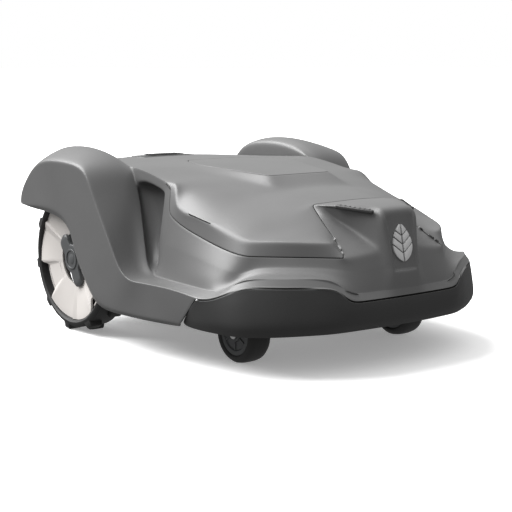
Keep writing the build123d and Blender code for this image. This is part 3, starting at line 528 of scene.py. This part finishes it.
def turnedCopy(piece, name, angle, centre):
    turned = copyPiece(piece, name)
    pivot = Vector((0, centre[0], centre[1])) * mm
    turn = Matrix.Translation(pivot) @ Matrix.Rotation(math.radians(angle), 4,
                                                       "X") @ Matrix.Translation(-pivot)
    turned.data.transform(turn)
    return turned


def buildTyre(name):
    inner, outer, tread = rearWheel["inner"], rearWheel["outer"], rearWheel["tread"]
    profile = [(inner + 3, 99), (inner, 106), (inner + 1, 111), (inner + 5, tread), (outer - 5, tread),
               (outer - 1, 112), (outer, 107), (outer - 2, 104), (outer - 12, 102.5), (outer - 13, 82),
               (outer - 17, 82), (outer - 18, 97), (inner + 3, 99)]
    centre = rearWheel["centre"]
    tyre = spunPiece(name, profile, (0, *centre))
    smoothShade(tyre, 40)
    parts = [tyre]
    across, along, high = rearWheel["lugSize"]
    lug = boxPiece("lug", (outer - across / 2 - 0.5, centre[0], centre[1] + tread + 1), (across, along, high))
    for vert in lug.data.vertices:
        if vert.co.z > (centre[1] + tread) * mm:
            vert.co.y = centre[0] * mm + (vert.co.y - centre[0] * mm) * 0.78
            if vert.co.x > (outer - 5) * mm:
                vert.co.x -= 3 * mm
    applyModifier(lug, "BEVEL", width=1.6 * mm, segments=2)
    smoothShade(lug, 40)
    step = 360 / rearWheel["lugs"]
    for k in range(rearWheel["lugs"]):
        parts.append(turnedCopy(lug, "lug", step * k + 8, centre))
        twin = turnedCopy(lug, "lug", step * (k + 0.5) + 8, centre)
        twin.data.transform(Matrix.Translation((-(outer - inner - across - 1) * mm, 0, 0)))
        for vert in twin.data.vertices:
            vert.co.x = (2 * inner + across + 1) * mm - vert.co.x
        twin.data.flip_normals()
        parts.append(twin)
    bpy.data.objects.remove(lug)
    return joinPieces(parts, name)


def angleFrom(angle, centres):
    return min(((angle - c + 180) % 360 - 180 for c in centres), key=abs)


def buildRim(name):
    made = bmesh.new()
    centre = rearWheel["centre"]
    rings = (1.0, 0.985, 0.95, 0.86, 0.74, 0.62, 0.5, 0.42)
    steps = 180
    rows = []
    for share in rings:
        row = []
        for k in range(steps):
            angle = 360 * k / steps
            off = angleFrom(angle, rearWheel["scallops"])
            bite = min(1, max(0, (19 - abs(off)) / 4))
            edge = rearWheel["rimRadius"] - rearWheel["scallopDepth"] * bite
            radius = edge * share if share > 0.6 else rearWheel["rimRadius"] * share
            fold = 4.5 - 6.5 * (abs(off) - 19) / 41 if abs(off) > 19 else 4.5 - 6 * bite
            if 52 < off:
                fold += (off - 52) * 0.6
            strength = min(1, max(0, (share - 0.45) / 0.25))
            x = 249 + 6 * min(1, max(0, (share - 0.42) / 0.5)) + fold * strength * 0.8
            if share == 1.0:
                x -= 3
            turn = math.radians(angle)
            row.append(made.verts.new((x * mm, (centre[0] + radius * math.cos(turn)) * mm,
                                       (centre[1] + radius * math.sin(turn)) * mm)))
        rows.append(row)
    for a, b in zip(rows, rows[1:]):
        for k in range(steps):
            made.faces.new((a[k], a[(k + 1) % steps], b[(k + 1) % steps], b[k]))
    mesh = bpy.data.meshes.new(name)
    made.to_mesh(mesh)
    made.free()
    rim = pieceFromMesh(name, mesh)
    if sum(face.normal.x for face in rim.data.polygons) < 0:
        rim.data.flip_normals()
    applyModifier(rim, "SOLIDIFY", thickness=3 * mm, offset=-1)
    barrel = spunPiece("rimBarrel", [(212, 95), (250, 95), (250, 92), (212, 92), (212, 95)], (0, *centre))
    rim = joinPieces([rim, barrel], name)
    smoothShade(rim, 12)
    return rim


def buildHubCap(name):
    made = bmesh.new()
    centre = rearWheel["centre"]
    steps = 120
    levels = ((243, 1.0), (254, 1.0), (256, 0.93), (256.6, 0.8))
    rows = []
    for x, share in levels:
        row = []
        for k in range(steps):
            angle = 360 * k / steps
            lobe = math.exp(-(angleFrom(angle, rearWheel["capLobes"]) / 24) ** 4)
            radius = (25 + 23 * lobe) * share
            turn = math.radians(angle)
            row.append(made.verts.new((x * mm, (centre[0] + radius * math.cos(turn)) * mm,
                                       (centre[1] + radius * math.sin(turn)) * mm)))
        rows.append(row)
    for a, b in zip(rows, rows[1:]):
        for k in range(steps):
            made.faces.new((a[k], a[(k + 1) % steps], b[(k + 1) % steps], b[k]))
    made.faces.new(rows[0])
    made.faces.new(rows[-1])
    bmesh.ops.recalc_face_normals(made, faces=made.faces)
    mesh = bpy.data.meshes.new(name)
    made.to_mesh(mesh)
    made.free()
    cap = pieceFromMesh(name, mesh)
    ring = spunPiece("capRing", [(255, 14), (257.6, 14), (258, 14.6), (258, 17), (257.6, 17.6), (255, 17.6),
                                 (255, 14)], (0, *centre), 64)
    button = spunPiece("capButton", [(255, 0.01), (257.6, 0.01), (257.4, 7), (256.8, 8.5), (255, 9),
                                     (255, 0.01)],
                       (0, *centre), 48)
    cap = joinPieces([cap, ring, button], name)
    smoothShade(cap, 30)
    return cap


tyreLeft = buildTyre("rearTyreLeft")
rimLeft = buildRim("rearRimLeft")
capLeft = buildHubCap("hubCapLeft")
tyreRight = mirrorPiece(tyreLeft, "rearTyreRight")
rimRight = mirrorPiece(rimLeft, "rearRimRight")
capRight = mirrorPiece(capLeft, "hubCapRight")
print("rear wheels built")


# front casters


caster = {"place": (163, -171, 46), "half": 20, "radius": 46}


def buildCaster():
    x, y, z = caster["place"]
    half, radius = caster["half"], caster["radius"]
    tyreShape = [(-14, 32), (-18.5, 34), (-20, 37.5), (-19, 41.5), (-15, 44.6), (-8, 45.8), (0, radius),
                 (8, 45.8), (15, 44.6), (19, 41.5), (half, 37.5), (18.5, 34), (14, 32), (-14, 32)]
    tyre = spunPiece("casterTyreLeft", [(x + a, r) for a, r in tyreShape], (0, y, z), 72)
    smoothShade(tyre, 45)
    discShape = [(-18, 5), (-18, 12), (-15.5, 13.5), (-15.5, 25), (-17.5, 27), (-17.8, 33.5), (-13, 34.5),
                 (13, 34.5), (17.8, 33.5), (17.5, 27), (15.5, 25), (15.5, 13.5), (18, 12), (18, 5), (-18, 5)]
    disc = spunPiece("casterWheelLeft", [(x + a, r) for a, r in discShape], (0, y, z), 64)
    ribs = [disc]
    for k in range(6):
        rib = boxPiece("rib", (x, y, z + 19), (34, 2.4, 14), 0.6)
        ribs.append(turnedCopy(rib, "rib", 60 * k, (y, z)))
        bpy.data.objects.remove(rib)
    disc = joinPieces(ribs, "casterWheelLeft")
    smoothShade(disc, 30)
    return tyre, disc


casterTyreLeft, casterWheelLeft = buildCaster()
casterTyreRight = mirrorPiece(casterTyreLeft, "casterTyreRight")
casterWheelRight = mirrorPiece(casterWheelLeft, "casterWheelRight")
print("casters built")


# trim: stop button, nose strips and leaf emblem


stopButtonShape = {"centre": (0, 290), "size": (116, 48), "top": 283.2, "bottom": 271, "gap": 0.8}


def buildStopButton():
    x, y = stopButtonShape["centre"]
    length, width = stopButtonShape["size"]
    top, bottom = stopButtonShape["top"], stopButtonShape["bottom"]
    hole = boxPiece("stopHole", (x, y, 275), (length + 2 * stopButtonShape["gap"],
                                              width + 2 * stopButtonShape["gap"], 60), 9, 4)
    makeActive(topCover)
    cut = topCover.modifiers.new("stopHole", "BOOLEAN")
    cut.object = hole
    bpy.ops.object.modifier_apply(modifier="stopHole")
    bpy.data.objects.remove(hole)
    button = boxPiece("stopButton", (x, y, (top + bottom) / 2), (length, width, top - bottom), 4.5, 5)
    for vert in button.data.vertices:
        if vert.co.z > (bottom + 5) * mm:
            vert.co.z -= 2.6 * mm * abs(vert.co.x / (length / 2 * mm)) ** 3
    groove = boxPiece("stopGrip", (x, y, top - 0.2), (70, 2.2, 1.4), 0.6)
    ridges = [button]
    for k in range(5):
        ridge = copyPiece(groove, "stopRidge")
        ridge.data.transform(Matrix.Translation((0, (k - 2) * 6 * mm, 0)))
        ridges.append(ridge)
    bpy.data.objects.remove(groove)
    button = joinPieces(ridges, "stopButton")
    smoothShade(button, 35)
    return button


stripShape = {"front": (38.5, -321, 233.6), "rear": (66, -269, 239.6), "width": 9, "height": 6, "ridges": 7}


def buildNoseStrips():
    front, rear = Vector(stripShape["front"]), Vector(stripShape["rear"])
    length = (rear - front).length
    bar = boxPiece("noseStrip", (0, 0, 0), (length, stripShape["width"], stripShape["height"]), 2.0, 3)
    parts = [bar]
    for k in range(stripShape["ridges"]):
        place = length * ((k + 0.9) / (stripShape["ridges"] + 0.8) - 0.5)
        parts.append(boxPiece("ridge", (place, 0.6, stripShape["height"] / 2),
                              (1.7, stripShape["width"] - 3.2, 1.6),
                              0.5))
    strip = joinPieces(parts, "noseStripLeft")
    along = (rear - front).normalized()
    side = Vector((0, 0, 1)).cross(along).normalized()
    up = along.cross(side)
    turn = Matrix((along, side, up)).transposed().to_4x4()
    strip.data.transform(Matrix.Translation((front + rear) / 2 * mm) @ turn)
    smoothShade(strip, 35)
    twin = mirrorPiece(strip, "noseStripRight")
    return joinPieces([strip, twin], "noseStrips")


emblem = {"low": 161, "high": 216, "half": 19, "rib": 1.5, "veins": 4, "slant": 0.75, "gap": 2.2}


def emblemDepth(z):  # the recessed panel's own slope
    return -347.4 + 0.196 * (z - 156)


def buildEmblem():
    made = bmesh.new()
    low, high, half = emblem["low"], emblem["high"], emblem["half"]

    def halfWidth(z):
        share = min(1, max(0, (z - low) / (high - low)))
        return half * math.sin(math.pi * share ** 0.8) ** 0.75

    pitch = (high - low - 4) / emblem["veins"]
    samples = [low + (high - low) * k / 160 for k in range(161)]
    for side in (1, -1):
        for k in range(emblem["veins"]):
            start = low + pitch * k - (20 if k == 0 else 0)
            end = low + pitch * (k + 1) - emblem["gap"] if k < emblem["veins"] - 1 else high + 5
            edge = [(halfWidth(z), z) for z in samples
                    if start <= z - emblem["slant"] * halfWidth(z) <= end and halfWidth(z) > emblem["rib"]]
            if len(edge) < 2:
                continue
            bottom = max(low, start + emblem["slant"] * emblem["rib"])
            top = min(edge[-1][1], end + emblem["slant"] * emblem["rib"])
            outline = [(emblem["rib"], bottom)] + edge[::4] + [edge[-1], (emblem["rib"], top)]
            outline = [p for n, p in enumerate(outline) if n == 0 or math.dist(p, outline[n - 1]) > 0.3]
            if len(outline) < 3:
                continue
            faces = []
            for out in (-2.4, 1.2):
                faces.append([made.verts.new((side * x * mm, (emblemDepth(z) + out) * mm, z * mm))
                              for x, z in outline])
            made.faces.new(faces[0])
            made.faces.new(faces[1])
            count = len(outline)
            for n in range(count):
                made.faces.new((faces[0][n], faces[0][(n + 1) % count], faces[1][(n + 1) % count],
                                faces[1][n]))
    bmesh.ops.recalc_face_normals(made, faces=made.faces)
    mesh = bpy.data.meshes.new("leafEmblem")
    made.to_mesh(mesh)
    made.free()
    leaf = pieceFromMesh("leafEmblem", mesh)
    applyModifier(leaf, "BEVEL", width=0.45 * mm, segments=2, limit_method="ANGLE",
                  angle_limit=math.radians(50))
    smoothShade(leaf, 35)
    return leaf


stopButton = buildStopButton()
noseStrips = buildNoseStrips()
leafEmblem = buildEmblem()
print("trim built")


# materials


def grainGroup():  # fine moulded grain: a height for the bump and a faint tone
    group = bpy.data.node_groups.new("mouldGrain", "ShaderNodeTree")
    for name in ("Scale", "Mottle"):
        socket = group.interface.new_socket(name, in_out="INPUT", socket_type="NodeSocketFloat")
        socket.default_value = 900 if name == "Scale" else 12
    group.interface.new_socket("Height", in_out="OUTPUT", socket_type="NodeSocketFloat")
    group.interface.new_socket("Tone", in_out="OUTPUT", socket_type="NodeSocketFloat")
    nodes, links = group.nodes, group.links
    start, end = nodes.new("NodeGroupInput"), nodes.new("NodeGroupOutput")
    place = nodes.new("ShaderNodeTexCoord")
    for inlet, outlet, detail in (("Scale", "Height", 3), ("Mottle", "Tone", 4)):
        noise = nodes.new("ShaderNodeTexNoise")
        noise.inputs["Detail"].default_value = detail
        links.new(place.outputs["Object"], noise.inputs["Vector"])
        links.new(start.outputs[inlet], noise.inputs["Scale"])
        links.new(noise.outputs["Fac"], end.inputs[outlet])
    return group


mouldGrain = grainGroup()


def finish(name, colour, roughness, grain=0.0, spread=0.12, metal=0.0, specular=0.5, scale=900, coat=0.0):
    material = bpy.data.materials.new(name)
    material.use_nodes = True
    nodes, links = material.node_tree.nodes, material.node_tree.links
    shader = nodes["Principled BSDF"]
    shader.inputs["Roughness"].default_value = roughness
    shader.inputs["Metallic"].default_value = metal
    shader.inputs["Specular IOR Level"].default_value = specular
    shader.inputs["Coat Weight"].default_value = coat
    shader.inputs["Base Color"].default_value = (*colour, 1)
    if grain:
        texture = nodes.new("ShaderNodeGroup")
        texture.node_tree = mouldGrain
        texture.inputs["Scale"].default_value = scale
        tone = nodes.new("ShaderNodeMix")
        tone.data_type = "RGBA"
        tone.inputs[6].default_value = (*[c * (1 - spread) for c in colour], 1)
        tone.inputs[7].default_value = (*[c * (1 + spread) for c in colour], 1)
        links.new(texture.outputs["Tone"], tone.inputs[0])
        links.new(tone.outputs[2], shader.inputs["Base Color"])
        bump = nodes.new("ShaderNodeBump")
        bump.inputs["Strength"].default_value = grain
        bump.inputs["Distance"].default_value = 0.0003
        links.new(texture.outputs["Height"], bump.inputs["Height"])
        links.new(bump.outputs["Normal"], shader.inputs["Normal"])
    return material


finishes = {
    "body_plastic": finish("bodyPlastic", (0.105, 0.105, 0.105), 0.42, 0.35),
    "cover_plastic": finish("coverPlastic", (0.108, 0.108, 0.108), 0.4, 0.35),
    "bumper_rubber": finish("bumperRubber", (0.028, 0.028, 0.028), 0.55, 0.5),
    "trim_black": finish("trimBlack", (0.03, 0.03, 0.03), 0.4, 0.3),
    "badge_plastic": finish("badgePlastic", (0.56, 0.56, 0.56), 0.35),
    "tyre_rubber": finish("tyreRubber", (0.016, 0.016, 0.016), 0.6, 0.5),
    "rim_plastic": finish("rimPlastic", (0.6, 0.57, 0.545), 0.5, 0.2, 0.04),
    "hub_plastic": finish("hubPlastic", (0.075, 0.078, 0.08), 0.45, 0.3),
    "chassis_plastic": finish("chassisPlastic", (0.022, 0.022, 0.022), 0.55, 0.3),
    "seal_rubber": finish("sealRubber", (0.012, 0.012, 0.012), 0.7, 0.3),
    "steel": finish("steel", (0.62, 0.62, 0.62), 0.3, metal=1.0),
    "blade_steel": finish("bladeSteel", (0.72, 0.72, 0.72), 0.22, metal=1.0),
    "motor_metal": finish("motorMetal", (0.45, 0.45, 0.46), 0.4, metal=1.0),
    "battery_plastic": finish("batteryPlastic", (0.02, 0.022, 0.028), 0.45, 0.2),
    "board_green": finish("boardGreen", (0.01, 0.11, 0.035), 0.4),
    "display_glass": finish("displayGlass", (0.012, 0.016, 0.018), 0.08, specular=0.6, coat=1.0),
    "key_green": finish("keyGreen", (0.03, 0.32, 0.06), 0.45, 0.2),
    "key_grey": finish("keyGrey", (0.22, 0.22, 0.22), 0.45, 0.2),
}
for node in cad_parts.values():
    slotName = node.active_material.name
    node.data.materials.clear()
    node.data.materials.append(finishes[slotName])
print("materials assigned")


# each piece on its body


def fit(piece, body, slotName, *nodes):
    piece.data.materials.clear()
    piece.data.materials.append(finishes[slotName])
    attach(piece, body)
    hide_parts(*nodes)


fit(bodyShell, "floating_body", "body_plastic", "body_shell")
fit(topCover, "floating_body", "cover_plastic", "top_cover")
fit(hatch, "hatch", "cover_plastic", "hatch")
fit(frontBumper, "floating_body", "bumper_rubber", "front_bumper")
fit(stopButton, "stop_button", "trim_black", "stop_button")
fit(noseStrips, "floating_body", "trim_black", "contact_strips")
fit(leafEmblem, "floating_body", "badge_plastic", "nose_badge")
for side, tyre, rim, cap, casterTyre, casterWheel in (
        ("left", tyreLeft, rimLeft, capLeft, casterTyreLeft, casterWheelLeft),
        ("right", tyreRight, rimRight, capRight, casterTyreRight, casterWheelRight)):
    fit(tyre, "rear_wheel_" + side, "tyre_rubber", "rear_tyre_" + side)
    fit(rim, "rear_wheel_" + side, "rim_plastic", "rear_rim_" + side)
    fit(cap, "rear_wheel_" + side, "hub_plastic", "hub_cap_" + side)
    fit(casterTyre, "caster_wheel_" + side, "tyre_rubber", "caster_tyre_" + side)
    fit(casterWheel, "caster_wheel_" + side, "hub_plastic", "caster_wheel_" + side)


# camera, light and floor


studio = {
    "cameraPlace": (-1.2753, -1.6356, 0.4474),
    "cameraLook": (0.6057, 0.7809, -0.1530),
    "lens": 87.1,
    "below": 0.3,
    "horizon": 0.3,
    "zenith": 1.15,
    "sunPlace": (-0.6, 0.8, 1.2),
    "sunStrength": 6.5,
    "sunSpread": 55,
    "floorColour": (0.93, 0.93, 0.93),
    "floorGlow": 0.26,
}


def setCamera():
    camera = bpy.data.cameras.new("camera")
    camera.lens = studio["lens"]
    camera.sensor_width = 36
    camera.clip_start = 0.05
    cameraPiece = bpy.data.objects.new("camera", camera)
    bpy.context.scene.collection.objects.link(cameraPiece)
    cameraPiece.location = studio["cameraPlace"]
    cameraPiece.rotation_euler = Vector(studio["cameraLook"]).to_track_quat("-Z", "Y").to_euler()
    bpy.context.scene.camera = cameraPiece


def setLight():
    world = bpy.data.worlds.new("studio")
    world.use_nodes = True
    nodes, links = world.node_tree.nodes, world.node_tree.links
    shade = nodes["Background"]
    place = nodes.new("ShaderNodeTexCoord")
    split = nodes.new("ShaderNodeSeparateXYZ")
    lift = nodes.new("ShaderNodeMapRange")
    lift.inputs["From Min"].default_value = -1
    ramp = nodes.new("ShaderNodeValToRGB")
    stops = ((0.0, "below"), (0.5, "horizon"), (1.0, "zenith"))
    ramp.color_ramp.elements.new(0.5)
    for element, (position, key) in zip(ramp.color_ramp.elements, stops):
        element.position = position
        element.color = (studio[key],) * 3 + (1,)
    links.new(place.outputs["Generated"], split.inputs[0])
    links.new(split.outputs["Z"], lift.inputs["Value"])
    links.new(lift.outputs[0], ramp.inputs[0])
    links.new(ramp.outputs["Color"], shade.inputs["Color"])
    white = nodes.new("ShaderNodeBackground")
    path = nodes.new("ShaderNodeLightPath")
    mix = nodes.new("ShaderNodeMixShader")
    white.inputs["Color"].default_value = (1, 1, 1, 1)
    links.new(path.outputs["Is Camera Ray"], mix.inputs[0])
    links.new(shade.outputs[0], mix.inputs[1])
    links.new(white.outputs[0], mix.inputs[2])
    links.new(mix.outputs[0], nodes["World Output"].inputs["Surface"])
    bpy.context.scene.world = world
    sun = bpy.data.lights.new("sun", "SUN")
    sun.energy = studio["sunStrength"]
    sun.angle = math.radians(studio["sunSpread"])
    lamp = bpy.data.objects.new("sun", sun)
    lamp.rotation_euler = (-Vector(studio["sunPlace"])).to_track_quat("-Z", "Y").to_euler()
    bpy.context.scene.collection.objects.link(lamp)


def layFloor():
    deselectAll()
    bpy.ops.mesh.primitive_plane_add(size=200, location=(0, 0, -0.0005))
    floor = bpy.context.object
    floor.name = "floor"
    floor.visible_diffuse = False
    floor.visible_glossy = False
    white = finish("floorWhite", studio["floorColour"], 0.9, specular=0.0)
    shader = white.node_tree.nodes["Principled BSDF"]
    shader.inputs["Emission Color"].default_value = (1, 1, 1, 1)
    shader.inputs["Emission Strength"].default_value = studio["floorGlow"]
    floor.data.materials.append(white)


setCamera()
setLight()
layFloor()
bpy.context.scene.view_settings.view_transform = "Standard"
print("camera, light and floor set")
